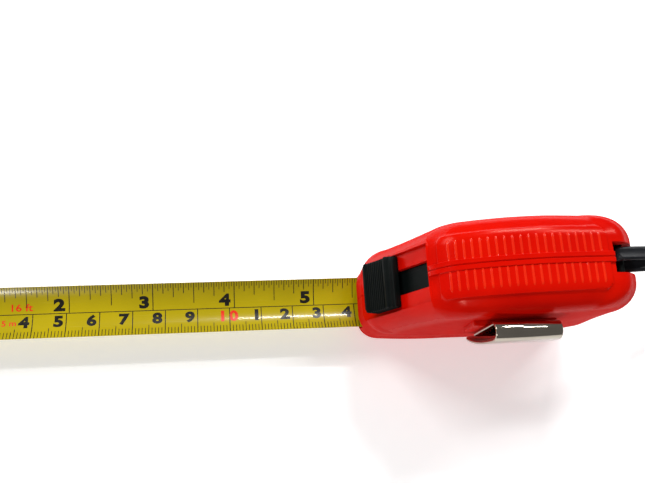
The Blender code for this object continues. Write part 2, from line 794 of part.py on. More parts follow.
def strap_points():
    """The strap's middle line: from in front of its pin, out, round its loop and back."""
    start = [round_pin(190 - 20 * i, 0.0008 + 0.00016 * i) for i in range(6)]
    end = [round_pin(275 - 22 * i, 0.0003 * i - 0.0010) for i in range(4)]
    return [Vector(p) for p in start + list(STRAP_ROUTE) + end]


def through(points, steps):
    """A smooth curve through the points, steps to each stretch."""
    padded = [points[0] * 2 - points[1]] + points + [points[-1] * 2 - points[-2]]
    made = []
    for a, b, c, d in zip(padded, padded[1:], padded[2:], padded[3:]):
        for i in range(steps):
            t = i / steps
            made.append(
                0.5 * (2 * b + (c - a) * t + (2 * a - 5 * b + 4 * c - d) * t ** 2
                       + (3 * b - a - 3 * c + d) * t ** 3)
            )
    return made + [points[-1]]


def wrist_strap(look, datum):
    path = through(strap_points(), 2)
    across = Vector((0, 1, 0))
    half, thick, corner = STRAP_WIDTH / 2, STRAP_THICKNESS / 2, 0.0004
    rings = []
    for i, p in enumerate(path):
        along = (path[min(i + 1, len(path) - 1)] - path[max(i - 1, 0)]).normalized()
        by_pin = Vector((p.x - PIN_X, p.z - PIN_Z)).length < 2 * STRAP_WRAP
        level = Vector((0, 1, 0)) if by_pin else Vector((0, 0, 1)).cross(along)
        level = (level - along * level.dot(along)).normalized()
        across = level if level.dot(across) > 0 else -level
        up = along.cross(across)
        section = []
        for a, b in ((1, 1), (-1, 1), (-1, -1), (1, -1)):
            first, second = (a * half, b * (thick - corner)), (a * (half - corner), b * thick)
            section += [first, second] if a * b > 0 else [second, first]
        rings.append([p + across * w + up * t for w, t in section])
    solid("wrist_strap", loft(rings), look, datum)


# ---------------------------------------------------------------- assembly

def main():
    clear_scene()
    looks = {
        "case": material("case_red", (0.72, 0.012, 0.006), 0.22),
        "lock": material("lock_black", (0.012, 0.014, 0.014), 0.38),
        "blade": material("blade_yellow", (0.66, 0.46, 0.03), 0.32),
        "steel": material("steel", (0.62, 0.62, 0.62), 0.3, 1.0),
        "chrome": material("clip_chrome", (0.78, 0.77, 0.76), 0.12, 1.0),
        "reel": material("reel_grey", (0.1, 0.1, 0.11), 0.5),
        "rubber": material("shoe_rubber", (0.02, 0.02, 0.02), 0.8),
        "strap": material("strap_black", (0.012, 0.013, 0.016), 0.55),
    }
    datum = empty("datum", DATUM)
    tip = (-BLADE_OUT, 0, BLADE_Z)
    slide = empty("blade_slide_axis", tip, datum)
    play = empty("hook_play_axis", (0, 0, 0), slide)
    reel_axis = empty("reel_spin_axis", (REEL_X, 0, REEL_Z), datum)
    lock_middle = on_slope((LOCK_START + LOCK_END) / 2, 0)
    lock_slide = empty("lock_slide_axis", (lock_middle.x, 0, lock_middle.y), datum)
    clip_hinge = empty("clip_flex_axis", (CLIP_X, CLIP_FOLD_Y, CLIP_FOLD_Z), datum)

    walls = shared_walls(datum)
    openings = shared_openings(datum)
    for side in (-1, 1):
        case_half(side, looks["case"], datum, walls, openings)
    case_screws(looks["steel"], datum)
    strap_pin(looks["steel"], datum)
    arbor(looks["steel"], datum)
    blade_parts(looks["blade"], slide, datum)
    hook_rivets(looks["steel"], slide)
    end_hook(looks["steel"], play, datum)
    reel_parts(looks, reel_axis)
    lock_parts(looks, lock_slide)
    belt_clip(looks["chrome"], clip_hinge, datum)
    clip_screw(looks["steel"], datum)
    wrist_strap(looks["strap"], datum)


main()
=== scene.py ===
from math import atan2, ceil, cos, pi, radians, sin, tau

import bmesh
import bpy
from mathutils import Matrix, Vector


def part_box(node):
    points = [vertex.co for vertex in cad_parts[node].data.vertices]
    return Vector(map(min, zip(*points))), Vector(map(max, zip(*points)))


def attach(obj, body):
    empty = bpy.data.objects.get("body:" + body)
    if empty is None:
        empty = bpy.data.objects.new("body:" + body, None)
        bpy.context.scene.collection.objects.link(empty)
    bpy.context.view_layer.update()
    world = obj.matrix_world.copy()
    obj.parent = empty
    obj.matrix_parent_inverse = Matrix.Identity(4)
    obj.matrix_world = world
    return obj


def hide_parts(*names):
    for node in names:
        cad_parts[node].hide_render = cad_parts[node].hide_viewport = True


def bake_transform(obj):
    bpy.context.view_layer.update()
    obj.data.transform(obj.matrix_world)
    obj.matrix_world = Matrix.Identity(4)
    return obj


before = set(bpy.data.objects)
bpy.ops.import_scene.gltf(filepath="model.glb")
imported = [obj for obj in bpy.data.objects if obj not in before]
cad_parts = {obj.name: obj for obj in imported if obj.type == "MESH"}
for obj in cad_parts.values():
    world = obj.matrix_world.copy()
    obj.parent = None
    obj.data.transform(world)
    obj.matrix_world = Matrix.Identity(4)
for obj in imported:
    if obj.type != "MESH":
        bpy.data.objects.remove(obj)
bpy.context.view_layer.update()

# How much rougher plastic looks where it is seen along the surface
EDGE_HAZE = 0.6

# The case frame: x back from the mouth, y from the seam between the halves, z from the base.
SEAM_HALF = 0.00015
ORIGIN = Vector((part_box("case_left")[0].x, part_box("case_right")[0].y - SEAM_HALF, 0))

# Case: CASE_SIDE_HALF is in the middle of the sides, EDGE_HALF and NOSE_HALF at their edge
CASE_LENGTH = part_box("case_right")[1].x - ORIGIN.x
CASE_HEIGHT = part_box("case_right")[1].z
CASE_SIDE_HALF = 0.0147
EDGE_HALF = 0.01355
NOSE_HALF = 0.0133
WIDEST_X = 0.040
TAIL_TAPER = 0.0008
BASE_TUCK = 0.0021
TUCK_HEIGHT = 0.025
ROOF_FLARE = 0.0007
WALL = 0.002
SHOULDER = 0.0079
BASE_ROUNDING = 0.0063
ROUNDING_FROM = 0.002
ROUNDING_RISE = 0.012
LEAST_ROUNDING = 0.001
NOSE_FOOT = 0.0084
CROWN = 0.014
ROOF_TOP_X = 0.052
ROOF_START = 0.0004
BACK_CORNER = 0.011
BACK_FOOT = 0.0074
NOSE_BREAK_Z = 0.0232
SLOPE = radians(61.6)
NOSE_BREAK_ROUNDING = 0.0068
PROFILE_CENTRE = Vector((0.038, 0.031))
MOUTH_DEPTH = 0.0067
MOUTH_HALF = 0.0083
MOUTH_UNDER = 0.0023
MOUTH_OVER = 0.0045

# Posts, bosses and collars inside the case, and the holes in them
POST_RADIUS = 0.0022
COLLAR_RADIUS = 0.0037
COLLAR_FOOT = 0.0082
ARBOR_BOSS_RADIUS = 0.005
ARBOR_BOSS_TOP = 0.0102
ARBOR_HOLE = 0.0033
CLIP_BOSS_RADIUS = 0.0032
CLIP_BOSS_TOP = 0.0106
INNER_WALL = 0.0014

# Grip panel: distances along the roof from the top of the lock's slope. The panel lies PANEL_SUNK
# under the plain roof, and the ground round it PANEL_STEP further down.
PANEL = (0.0030, 0.0520)
PANEL_HALF = 0.0094
PANEL_CORNER = 0.0025
PANEL_SUNK = 0.0003
PANEL_STEP = 0.0004
PANEL_RIM = 0.00035
PANEL_GROUND = 0.0008
PANEL_FADE = 0.0045
BAND_HALF = 0.0014
BAND_EDGE = 0.00025
ROOF_FADE = 0.001
SEAM_PAST_PANEL = 0.012
SEAM_GROOVE = 0.00018
SEAM_GROOVE_HALF = 0.00012
SEAM_GROOVE_EDGE = 0.0002
SEAM_SEEN = 0.00006
RIB_FIRST = 0.0067
RIB_PITCH = 0.00225
RIB_COUNT = 20
RIB_HALF = 0.00040
RIB_HEIGHT = 0.00026
RIB_SPAN = (0.0013, 0.0074)

# Reel
REEL = Vector((0.042, 0, 0.032))
COIL_RADIUS = 0.0212

# Blade and its scale, measured back from the hook
BLADE_OUT = 0.1405
BLADE_HALF = 0.008
BLADE_CUP = 0.00286
BLADE_THICKNESS = 0.0002
BLADE_Z = 0.0075
BLADE_END = REEL.x - 0.002
HOOK_PLAY = 0.001
RIVETS = (0.006, 0.011)
INCH = 0.0254
INK_END = 0.172
INK_HEIGHT = 0.00002
INK_FOOT = -0.00003

# Lock
RECESS_HALF = 0.0084
RECESS_END = 0.0288
RECESS_DEPTH = 0.0016
TONGUE_DEPTH = 0.0029
LOCK_TRAVEL = 0.005
LOCK_START = 0.0037
LOCK_END = 0.0152
LOCK_HALF = 0.0076
LOCK_SHIFT = 0.0003
SLOT_HALF = 0.0038

# Belt clip
CLIP_X = 0.0378
CLIP_HALF = 0.0094
CLIP_THICKNESS = 0.0008
CLIP_CORNER = 0.0022
CLIP_EDGE = 0.00018
CLIP_SPACING = 0.0006
CLIP_PAD_Y = 0.0158
CLIP_PAD = ((0.0256, 0.0500), (0.0375, 0.0479))
CLIP_LEAF_Y = -0.0165
CLIP_FOLD_RADIUS = 0.0022
CLIP_FOLD_Z = 0.0546
CLIP_SCREW_Z = 0.043

# Case screws: the x and z of each, the head's radius, the y of its seat, and the holes' radii
CASE_SCREWS = ((0.0155, 0.0155), (0.0665, 0.0120), (0.0149, 0.0320), (0.0680, 0.0400))
SCREW_HEAD = 0.0024
SCREW_SEAT = 0.0099
SCREW_PILOT = 0.0013
SCREW_CLEARANCE = 0.0015
SCREW_COUNTERBORE = 0.0028

# Strap, its notch and the pin it goes round
NOTCH_X = 0.0637
NOTCH_Z = 0.050
NOTCH_HALF = 0.0044
PIN_X = 0.0677
PIN_Z = 0.0545
STRAP_WRAP = 0.0023
STRAP_HALF = 0.002
STRAP_THICK = 0.00075
STRAP_ROUTE = (
    (0.0720, 0.0016, 0.0569),
    (0.0770, 0.0017, 0.0562),
    (0.0835, 0.0021, 0.0539),
    (0.0905, 0.0029, 0.0490),
    (0.0965, 0.0042, 0.0415),
    (0.1010, 0.0060, 0.0320),
    (0.1045, 0.0082, 0.0215),
    (0.1085, 0.0105, 0.0112),
    (0.1140, 0.0128, 0.0040),
    (0.1220, 0.0150, 0.0012),
    (0.1340, 0.0170, 0.0009),
    (0.1460, 0.0176, 0.0009),
    (0.1580, 0.0152, 0.0009),
    (0.1660, 0.0095, 0.0009),
    (0.1690, 0.0015, 0.0009),
    (0.1665, -0.0070, 0.0009),
    (0.1585, -0.0132, 0.0009),
    (0.1460, -0.0160, 0.0009),
    (0.1335, -0.0156, 0.0009),
    (0.1215, -0.0138, 0.0012),
    (0.1135, -0.0118, 0.0040),
    (0.1078, -0.0095, 0.0112),
    (0.1035, -0.0070, 0.0212),
    (0.0998, -0.0050, 0.0315),
    (0.0952, -0.0034, 0.0405),
    (0.0892, -0.0020, 0.0477),
    (0.0825, -0.0014, 0.0522),
    (0.0765, -0.0011, 0.0540),
    (0.0720, -0.0010, 0.0534),
)


# ---------------- camera, floor, light

def camera():
    eye = Vector((-0.01369, -0.05033, 0.26605))
    target = Vector((0.02305, 0.02084, 0.020))
    roll = radians(24.88)
    data = bpy.data.cameras.new("camera")
    data.lens = 45.987
    data.sensor_width = 36
    data.sensor_fit = "HORIZONTAL"
    data.clip_start = 0.01
    made = bpy.data.objects.new("camera", data)
    bpy.context.collection.objects.link(made)
    look = (target - eye).to_track_quat("-Z", "Y").to_matrix().to_4x4()
    made.matrix_world = Matrix.Translation(eye) @ look @ Matrix.Rotation(roll, 4, "Z")
    bpy.context.scene.camera = made


def softbox(name, place, aim, size, power):
    data = bpy.data.lights.new(name, "AREA")
    data.shape = "RECTANGLE"
    data.size, data.size_y = size
    data.energy = power
    made = bpy.data.objects.new(name, data)
    bpy.context.collection.objects.link(made)
    made.location = place
    made.rotation_euler = (Vector(aim) - Vector(place)).to_track_quat("-Z", "Y").to_euler()


def studio():
    """Dim even surroundings and four softboxes. The narrow ones behind draw the bright lines on
    the clip's fold and on the blade by the mouth."""
    bpy.context.scene.view_settings.view_transform = "Standard"
    world = bpy.data.worlds.new("studio")
    bpy.context.scene.world = world
    world.use_nodes = True
    background = world.node_tree.nodes["Background"]
    background.inputs["Color"].default_value = (1, 1, 1, 1)
    background.inputs["Strength"].default_value = 0.2
    aim = (0.02, 0, 0.02)
    softbox("key", (-0.80, 0.72, 0.75), aim, (0.50, 0.40), 8.4)
    softbox("back", (0.60, 0.56, 0.82), (0.60, 0, 0.02), (0.50, 0.04), 4.6)
    softbox("strip", (0.21, 0.80, 0.78), (0.21, 0, 0.02), (0.34, 0.06), 6.5)
    softbox("front", (-0.45, -0.85, 0.80), aim, (0.30, 0.12), 4.6)


def floor(look):
    bm = bmesh.new()
    reach = 4
    bmesh.ops.create_grid(bm, x_segments=24, y_segments=24, size=reach)
    mesh = bpy.data.meshes.new("floor")
    bm.to_mesh(mesh)
    bm.free()
    made = bpy.data.objects.new("floor", mesh)
    bpy.context.collection.objects.link(made)
    mesh.materials.append(look)


# ---------------- materials

class Look:
    """A node material under construction, with short calls for the nodes it needs."""

    def __init__(self, name, roughness, metallic=0.0, **sockets):
        self.made = bpy.data.materials.new(name)
        self.made.use_nodes = True
        self.tree = self.made.node_tree
        self.shader = self.tree.nodes["Principled BSDF"]
        self.shader.inputs["Roughness"].default_value = roughness
        self.shader.inputs["Metallic"].default_value = metallic
        for socket, value in sockets.items():
            self.shader.inputs[socket.replace("_", " ")].default_value = value
        self.coordinates = self.node("ShaderNodeTexCoord").outputs["Object"]

    def node(self, kind, **settings):
        made = self.tree.nodes.new(kind)
        for name, value in settings.items():
            setattr(made, name, value)
        return made

    def join(self, start, end):
        self.tree.links.new(start, end)

    def mapped(self, scale=(1, 1, 1), location=(0, 0, 0)):
        node = self.node("ShaderNodeMapping")
        node.inputs["Scale"].default_value = scale
        node.inputs["Location"].default_value = location
        self.join(self.coordinates, node.inputs["Vector"])
        return node.outputs["Vector"]

    def noise(self, scale, detail=4.0, roughness=0.55, vector=None):
        node = self.node("ShaderNodeTexNoise")
        node.inputs["Scale"].default_value = scale
        node.inputs["Detail"].default_value = detail
        node.inputs["Roughness"].default_value = roughness
        self.join(vector or self.coordinates, node.inputs["Vector"])
        return node.outputs["Fac"]

    def wave(self, scale, vector, distortion=0.0, kind="BANDS", direction="X"):
        node = self.node("ShaderNodeTexWave", wave_type=kind)
        if kind == "BANDS":
            node.bands_direction = direction
        else:
            node.rings_direction = direction
        node.inputs["Scale"].default_value = scale
        node.inputs["Distortion"].default_value = distortion
        self.join(vector, node.inputs["Vector"])
        return node.outputs["Fac"]

    def ranged(self, value, low, high, start=0.3, end=0.7):
        node = self.node("ShaderNodeMapRange")
        node.inputs["From Min"].default_value = start
        node.inputs["From Max"].default_value = end
        node.inputs["To Min"].default_value = low
        node.inputs["To Max"].default_value = high
        self.join(value, node.inputs["Value"])
        return node.outputs["Result"]

    def combined(self, operation, first, second):
        node = self.node("ShaderNodeMath", operation=operation)
        self.join(first, node.inputs[0])
        self.join(second, node.inputs[1])
        return node.outputs["Value"]

    def mix(self, factor, first, second):
        """Two colours mixed. The node's colour sockets are inputs 6 and 7 and output 2."""
        node = self.node("ShaderNodeMix", data_type="RGBA")
        self.join(factor, node.inputs["Factor"])
        node.inputs[6].default_value = (*first, 1)
        node.inputs[7].default_value = (*second, 1)
        return node.outputs[2]

    def color(self, value):
        self.join(value, self.shader.inputs["Base Color"])

    def roughness(self, value):
        self.join(value, self.shader.inputs["Roughness"])

    def bump(self, height, strength, distance):
        node = self.node("ShaderNodeBump")
        node.inputs["Strength"].default_value = strength
        node.inputs["Distance"].default_value = distance
        self.join(height, node.inputs["Height"])
        self.join(node.outputs["Normal"], self.shader.inputs["Normal"])


def plastic(name, dark, light, rough, grain, depth, **sockets):
    """Moulded plastic: slow colour drift, fine scuffs in the gloss, hazier where seen along
    the surface, and a trace of moulded grain."""
    look = Look(name, rough[0], **sockets)
    drift = look.ranged(look.noise(60), 0, 1)
    look.color(look.mix(drift, dark, light))
    scuffs = look.ranged(look.noise(420, 6, 0.7, look.mapped((1, 4, 1))), *rough)
    facing = look.node("ShaderNodeLayerWeight").outputs["Facing"]
    skimming = look.ranged(facing, 0, EDGE_HAZE, 0.5, 0.8)
    look.roughness(look.combined("ADD", scuffs, skimming))
    look.bump(look.noise(grain, 3), 0.25, depth)
    return look.made


def metal(name, dark, light, rough, stretch, depth):
    """Metal with fine lines drawn along the axis that stretch leaves smallest."""
    look = Look(name, rough[0], 1.0)
    lines = look.noise(500, 5, 0.65, look.mapped(stretch))
    cloud = look.ranged(look.noise(90), 0, 1)
    look.color(look.mix(cloud, dark, light))
    look.roughness(look.ranged(lines, *rough))
    look.bump(lines, 0.2, depth)
    return look.made


def blade_lacquer():
    """Yellow lacquer over steel, a little thinner and dustier here and there."""
    look = Look("blade_yellow", 0.2, 0.0, Specular_IOR_Level=0.15, Coat_Weight=0.3, Coat_Roughness=0.11)
    drift = look.ranged(look.noise(45), 0, 1)
    look.color(look.mix(drift, (0.37, 0.285, 0.002), (0.44, 0.34, 0.003)))
    lines = look.noise(700, 4, 0.6, look.mapped((0.05, 1, 1)))
    look.roughness(look.ranged(lines, 0.17, 0.30))
    look.bump(look.noise(1500, 2), 0.12, 0.00002)
    return look.made


def coil_layers():
    """The edges of the wound blade: turn on turn, with painted shade darkening the gaps between."""
    look = Look("coil_yellow", 0.35)
    centre = REEL + ORIGIN
    vector = look.mapped((1, 1, 1), (-centre.x, -centre.y, -centre.z))
    turns = look.wave(640, vector, 0.4, "RINGS", "Y")
    # Painted shade: the rings' dark colour fills the gaps between the turns.
    look.color(look.mix(turns, (0.16, 0.11, 0.004), (0.70, 0.52, 0.016)))
    look.roughness(look.ranged(look.noise(300), 0.3, 0.5))
    look.bump(turns, 0.5, 0.00008)
    return look.made


def ink(name, dark, light):
    """Printed ink, worn a little lighter here and there."""
    look = Look(name, 0.3, 0.0, Specular_IOR_Level=0.2)
    wear = look.ranged(look.noise(900, 5, 0.7), 0, 1, 0.35, 0.65)
    look.color(look.mix(wear, dark, light))
    look.roughness(look.ranged(look.noise(300), 0.22, 0.4))
    return look.made


def strap_vinyl():
    """Black vinyl-coated tape with a pressed weave."""
    look = Look("strap_black", 0.4, 0.0, Specular_IOR_Level=0.25)
    warp = look.wave(900, look.mapped(), 0.5, "BANDS", "X")
    weft = look.wave(900, look.mapped(), 0.5, "BANDS", "Y")
    drift = look.ranged(look.noise(200), 0, 1)
    look.color(look.mix(drift, (0.0045, 0.0052, 0.0070), (0.0110, 0.0125, 0.0160)))
    look.roughness(look.ranged(look.noise(500), 0.32, 0.5))
    look.bump(look.combined("MULTIPLY", warp, weft), 0.35, 0.00006)
    return look.made


def floor_paper():
    """Pale paper with a faint tooth. A slight glow keeps it even far from the lights."""
    look = Look("floor_paper", 0.7)
    fibres = look.noise(300, 6, 0.7)
    look.color(look.mix(look.ranged(fibres, 0, 1), (0.92, 0.92, 0.92), (0.95, 0.95, 0.95)))
    look.shader.inputs["Emission Color"].default_value = (1, 1, 1, 1)
    look.shader.inputs["Emission Strength"].default_value = 0.35
    look.bump(fibres, 0.05, 0.0001)
    return look.made


def looks():
    return {
        "red": plastic(
            "case_red", (0.54, 0.0020, 0.0002), (0.63, 0.0045, 0.0004), (0.14, 0.25), 2600, 0.00003,
            IOR=1.3, Specular_IOR_Level=0.3, Specular_Tint=(1.0, 0.50, 0.40, 1.0),
        ),
        # The ribs' red is a lighter, oranger copy of the case red: a painted highlight for the light their
        # tops catch.
        "rib_red_painted_highlight": plastic(
            "rib_red_painted_highlight", (0.66, 0.0120, 0.0015), (0.76, 0.0200, 0.0025), (0.16, 0.27), 2600, 0.00003,
            IOR=1.3,
        ),
        "black": plastic(
            "lock_black", (0.0018, 0.0030, 0.0029), (0.0040, 0.0058, 0.0054), (0.32, 0.46), 2600, 0.00006,
            Specular_IOR_Level=0.08,
        ),
        "grey": plastic(
            "reel_grey", (0.075, 0.078, 0.085), (0.11, 0.115, 0.12), (0.4, 0.55), 1500, 0.00005
        ),
        "rubber": plastic(
            "shoe_rubber", (0.012, 0.012, 0.012), (0.03, 0.03, 0.028), (0.65, 0.85), 3200, 0.0001
        ),
        "steel": metal("steel", (0.50, 0.50, 0.49), (0.64, 0.63, 0.61), (0.2, 0.36), (1, 0.06, 1), 0.00002),
        "hook": metal(
            "hook_steel", (0.36, 0.355, 0.34), (0.48, 0.47, 0.45), (0.16, 0.3), (1, 0.1, 1), 0.00002
        ),
        "spring": metal(
            "spring_steel", (0.22, 0.23, 0.26), (0.36, 0.36, 0.38), (0.25, 0.4), (1, 0.05, 1), 0.00002
        ),
        "chrome": metal(
            "clip_chrome", (0.40, 0.355, 0.29), (0.48, 0.43, 0.36), (0.06, 0.10), (0.02, 1, 1), 0.000002
        ),
        "blade": blade_lacquer(),
        "coil": coil_layers(),
        "ink_black": ink("ink_black", (0.006, 0.006, 0.006), (0.016, 0.015, 0.010)),
        "ink_red": ink("ink_red", (0.62, 0.020, 0.006), (0.74, 0.045, 0.010)),
        "strap": strap_vinyl(),
    }


# ---------------- mesh helpers

def mesh_object(name, bm, look=None, sharp=32):
    """An object of bm, whose vertices are in the case frame, moved to the row frame."""
    bmesh.ops.recalc_face_normals(bm, faces=bm.faces)
    bmesh.ops.translate(bm, vec=ORIGIN, verts=bm.verts)
    mesh = bpy.data.meshes.new(name)
    bm.to_mesh(mesh)
    bm.free()
    mesh.shade_smooth()
    mesh.set_sharp_from_angle(angle=radians(sharp))
    made = bpy.data.objects.new(name, mesh)
    bpy.context.collection.objects.link(made)
    if look:
        mesh.materials.append(look)
    return made


def piece(name, bm, look, body=None, replaces=(), sharp=32):
    finish_piece(mesh_object(name, bm, look, sharp), body, replaces)


def finish_piece(made, body=None, replaces=()):
    if replaces:
        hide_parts(*replaces)
    if body:
        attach(made, body)


def loft(rings, bm=None):
    """A closed body through rings of equally many points, in bm if given. An end may be a point."""
    bm = bm or bmesh.new()
    loops = [[bm.verts.new(p) for p in ring] for ring in rings]
    for low, high in zip(loops, loops[1:]):
        count = max(len(low), len(high))
        for i in range(count):
            j = (i + 1) % count
            if len(high) == 1:
                bm.faces.new((low[i], low[j], high[0]))
            elif len(low) == 1:
                bm.faces.new((low[0], high[j], high[i]))
            else:
                bm.faces.new((low[i], low[j], high[j], high[i]))
    for loop in (loops[0], loops[-1]):
        if len(loop) > 2:
            bm.faces.new(loop)
    return bm


def prism(outline, low, high):
    """An x, z outline drawn out along y."""
    return loft([[(x, y, z) for x, z in outline] for y in (low, high)])


def box(x, y, z):
    """A plain box between the two values given for each axis."""
    return prism([(x[0], z[0]), (x[1], z[0]), (x[1], z[1]), (x[0], z[1])], *y)


def turned(profile, centre, axis="Y", segments=48):
    """A body turned about an axis through centre, from pairs of radius and height."""
    rings = []
    for radius, height in profile:
        angles = [tau * i / segments for i in range(segments)] if radius else (0,)
        ring = []
        for angle in angles:
            a, b = radius * cos(angle), radius * sin(angle)
            ring.append(Vector(centre) + Vector((a, height, b) if axis == "Y" else (a, b, height)))
        rings.append(ring)
    return loft(rings)


def rod(x, z, radius, low, high, segments=32):
    return turned([(radius, low), (radius, high)], (x, 0, z), "Y", segments)


def arc(x, z, radius, start, end, steps):
    """Points of an arc in the x, z plane, from start to end degrees."""
    turns = [radians(start + (end - start) * i / steps) for i in range(steps + 1)]
    return [Vector((x + radius * cos(t), z + radius * sin(t))) for t in turns]


def smooth(value):
    value = min(max(value, 0), 1)
    return value * value * (3 - 2 * value)


def on_slope(d, h):
    """The x, z of a point d up the lock's slope and h out from it."""
    rise = d * sin(SLOPE) + h * cos(SLOPE)
    return Vector((d * cos(SLOPE) - h * sin(SLOPE), NOSE_BREAK_Z + rise))


def through(points, steps):
    """A smooth curve through the points, steps to each stretch."""
    padded = [points[0] * 2 - points[1]] + points + [points[-1] * 2 - points[-2]]
    made = []
    for a, b, c, d in zip(padded, padded[1:], padded[2:], padded[3:]):
        for i in range(steps):
            t = i / steps
            made.append(
                0.5 * (2 * b + (c - a) * t + (2 * a - 5 * b + 4 * c - d) * t ** 2
                       + (3 * b - a - 3 * c + d) * t ** 3)
            )
    return made + [points[-1]]


def resample(points, spacing, cyclic=False):
    """Points evenly spaced along the line through points."""
    line = points + [points[0]] if cyclic else points
    lengths = [0.0]
    for a, b in zip(line, line[1:]):
        lengths.append(lengths[-1] + (b - a).length)
    count = ceil(lengths[-1] / spacing)
    made = []
    at = 0
    for i in range(count if cyclic else count + 1):
        wanted = lengths[-1] * i / count
        while at < len(lengths) - 2 and lengths[at + 1] < wanted:
            at += 1
        span = lengths[at + 1] - lengths[at]
        made.append(line[at].lerp(line[at + 1], (wanted - lengths[at]) / span))
    return made


def boolean(target, cutter, operation="DIFFERENCE"):
    """Cuts cutter from target, or joins it, and removes cutter."""
    modifier = target.modifiers.new("cut", "BOOLEAN")
    modifier.operation = operation
    modifier.solver = "EXACT"
    modifier.object = cutter
    evaluated = target.evaluated_get(bpy.context.evaluated_depsgraph_get())
    mesh = bpy.data.meshes.new_from_object(evaluated)
    target.modifiers.clear()
    target.data = mesh
    bpy.data.objects.remove(cutter)


# ---------------- strap

def round_pin(degrees, y):
    """A point on the strap's way round the pin."""
    angle = radians(degrees)
    return (PIN_X + STRAP_WRAP * cos(angle), y, PIN_Z + STRAP_WRAP * sin(angle))


def strap_path():
    """The strap's middle line: round the pin, out of the notch, along the floor and back."""
    start = [round_pin(190 - 20 * i, 0.0008 + 0.00016 * i) for i in range(6)]
    end = [round_pin(275 - 22 * i, 0.0003 * i - 0.0010) for i in range(4)]
    return through([Vector(p) for p in start + list(STRAP_ROUTE) + end], 6)


def strap_section():
    """Half-round edges and a shallow channel down the middle of both faces."""
    edge = 6
    points = []
    for side in (1, -1):
        for i in range(edge + 1):
            turn = pi * i / edge - pi / 2
            if side < 0:
                turn += pi
            points.append((
                side * (STRAP_HALF - STRAP_THICK) + STRAP_THICK * cos(turn),
                STRAP_THICK * sin(turn),
            ))
        face = side * STRAP_THICK
        for share, depth in ((0.55, 0), (0.35, 0.16), (0, 0.22), (-0.35, 0.16), (-0.55, 0)):
            points.append((side * share * STRAP_HALF, face * (1 - depth)))
    return points


def wrist_strap(look):
    path = strap_path()
    section = strap_section()
    across = Vector((0, 1, 0))
    rings = []
    for i, p in enumerate(path):
        along = (path[min(i + 1, len(path) - 1)] - path[max(i - 1, 0)]).normalized()
        near_pin = Vector((p.x - PIN_X, p.z - PIN_Z)).length < 2 * STRAP_WRAP
        level = Vector((0, 1, 0)) if near_pin else Vector((0, 0, 1)).cross(along)
        level = (level - along * level.dot(along)).normalized()
        across = level if level.dot(across) > 0 else -level
        up = along.cross(across)
        rings.append([p + across * w + up * t for w, t in section])
    made = mesh_object("strap_band", loft(rings), look, 60)
    finish_piece(made, "case", ("wrist_strap",))


# ---------------- case surface

def roof_curve():
    """The arc that leaves the lock's slope, the roof and the back corner."""
    start = on_slope(RECESS_END + ROOF_START, 0)
    crown = start + CROWN * Vector((sin(SLOPE), -cos(SLOPE)))
    across, below = crown.x - ROOF_TOP_X, crown.y - CASE_HEIGHT
    radius = (across * across + below * below - CROWN * CROWN) / (-2 * (below + CROWN))
    roof = Vector((ROOF_TOP_X, CASE_HEIGHT - radius))
    meet = atan2(crown.y - roof.y, crown.x - roof.x) * 180 / pi
    back = CASE_LENGTH - BACK_CORNER
    return (
        arc(crown.x, crown.y, CROWN, 90 + SLOPE * 180 / pi, meet, 40)
        + arc(roof.x, roof.y, radius, meet, 90, 60)[1:]
        + arc(back, CASE_HEIGHT - BACK_CORNER, BACK_CORNER, 90, 0, 40)
    )


def case_outline():
    """The side view, clockwise from the top of the lock's slope."""
    kink = 90 - SLOPE * 180 / pi
    nose_z = NOSE_BREAK_Z - NOSE_BREAK_ROUNDING * sin(radians(kink)) / (1 + cos(radians(kink)))
    heel = arc(CASE_LENGTH - BACK_FOOT, BACK_FOOT, BACK_FOOT, 0, -90, 30)
    foot = arc(NOSE_FOOT, NOSE_FOOT, NOSE_FOOT, 270, 180, 30)
    brow = arc(NOSE_BREAK_ROUNDING, nose_z, NOSE_BREAK_ROUNDING, 180, 180 - kink, 16)
    return resample(roof_curve() + heel + foot + brow, 0.00042, cyclic=True)


def half_width(x, z):
    """The case's half thickness where the sides meet the rounding at its edge."""
    if x < WIDEST_X:
        plan = NOSE_HALF + (EDGE_HALF - NOSE_HALF) * sin(pi / 2 * max(x, 0) / WIDEST_X)
    else:
        plan = EDGE_HALF - TAIL_TAPER * ((x - WIDEST_X) / (CASE_LENGTH - WIDEST_X)) ** 2
    middle = CASE_HEIGHT / 2
    flare = ROOF_FLARE * smooth((z - middle) / middle)
    return plan + flare - BASE_TUCK * (1 - smooth(z / TUCK_HEIGHT))


class Spot:
    """One station of the outline, with what the rounding at its edge needs."""

    def __init__(self, point, along, s, inset=0.0):
        self.point = point
        self.s = s
        self.inset = inset
        self.reach = Vector((-along.y, along.x)).dot(point - PROFILE_CENTRE)
        share = smooth((point.y - ROUNDING_FROM) / ROUNDING_RISE)
        rounding = BASE_ROUNDING + (SHOULDER - BASE_ROUNDING) * share
        full = half_width(point.x, point.y)
        self.sweep = pi / 2 - atan2(2 * (CASE_SIDE_HALF - full), self.reach)
        self.half = full - inset
        self.fillet = max(rounding - inset, LEAST_ROUNDING)

    def across(self, y):
        """The point at y from the seam, before the side's middle."""
        short = max(y - (self.half - self.fillet), 0) / self.fillet
        drop = self.fillet * (1 - max(1 - short * short, 0) ** 0.5)
        return self.at(self.inset + drop + relief(self.s, y), y)

    def at(self, depth, y, shrink=1.0):
        """The point at y, depth in from the outline, then drawn towards the profile's centre."""
        scale = (1 - depth / self.reach) * shrink
        flat = PROFILE_CENTRE + (self.point - PROFILE_CENTRE) * scale
        return Vector((flat.x, y, flat.y))

    def rounded(self, share, shrink=1.0, shape=True):
        """The point a share of the way round the edge, or past it on the side for shrink under 1."""
        turn = self.sweep * share
        y = self.half - self.fillet * (1 - sin(turn))
        depth = self.inset + self.fillet * (1 - cos(turn))
        if shape:
            depth += relief(self.s, y) * min(1, 3 * (1 - share))
        y += (CASE_SIDE_HALF - self.inset - y) * (1 - shrink * shrink)
        return self.at(depth, y, shrink)


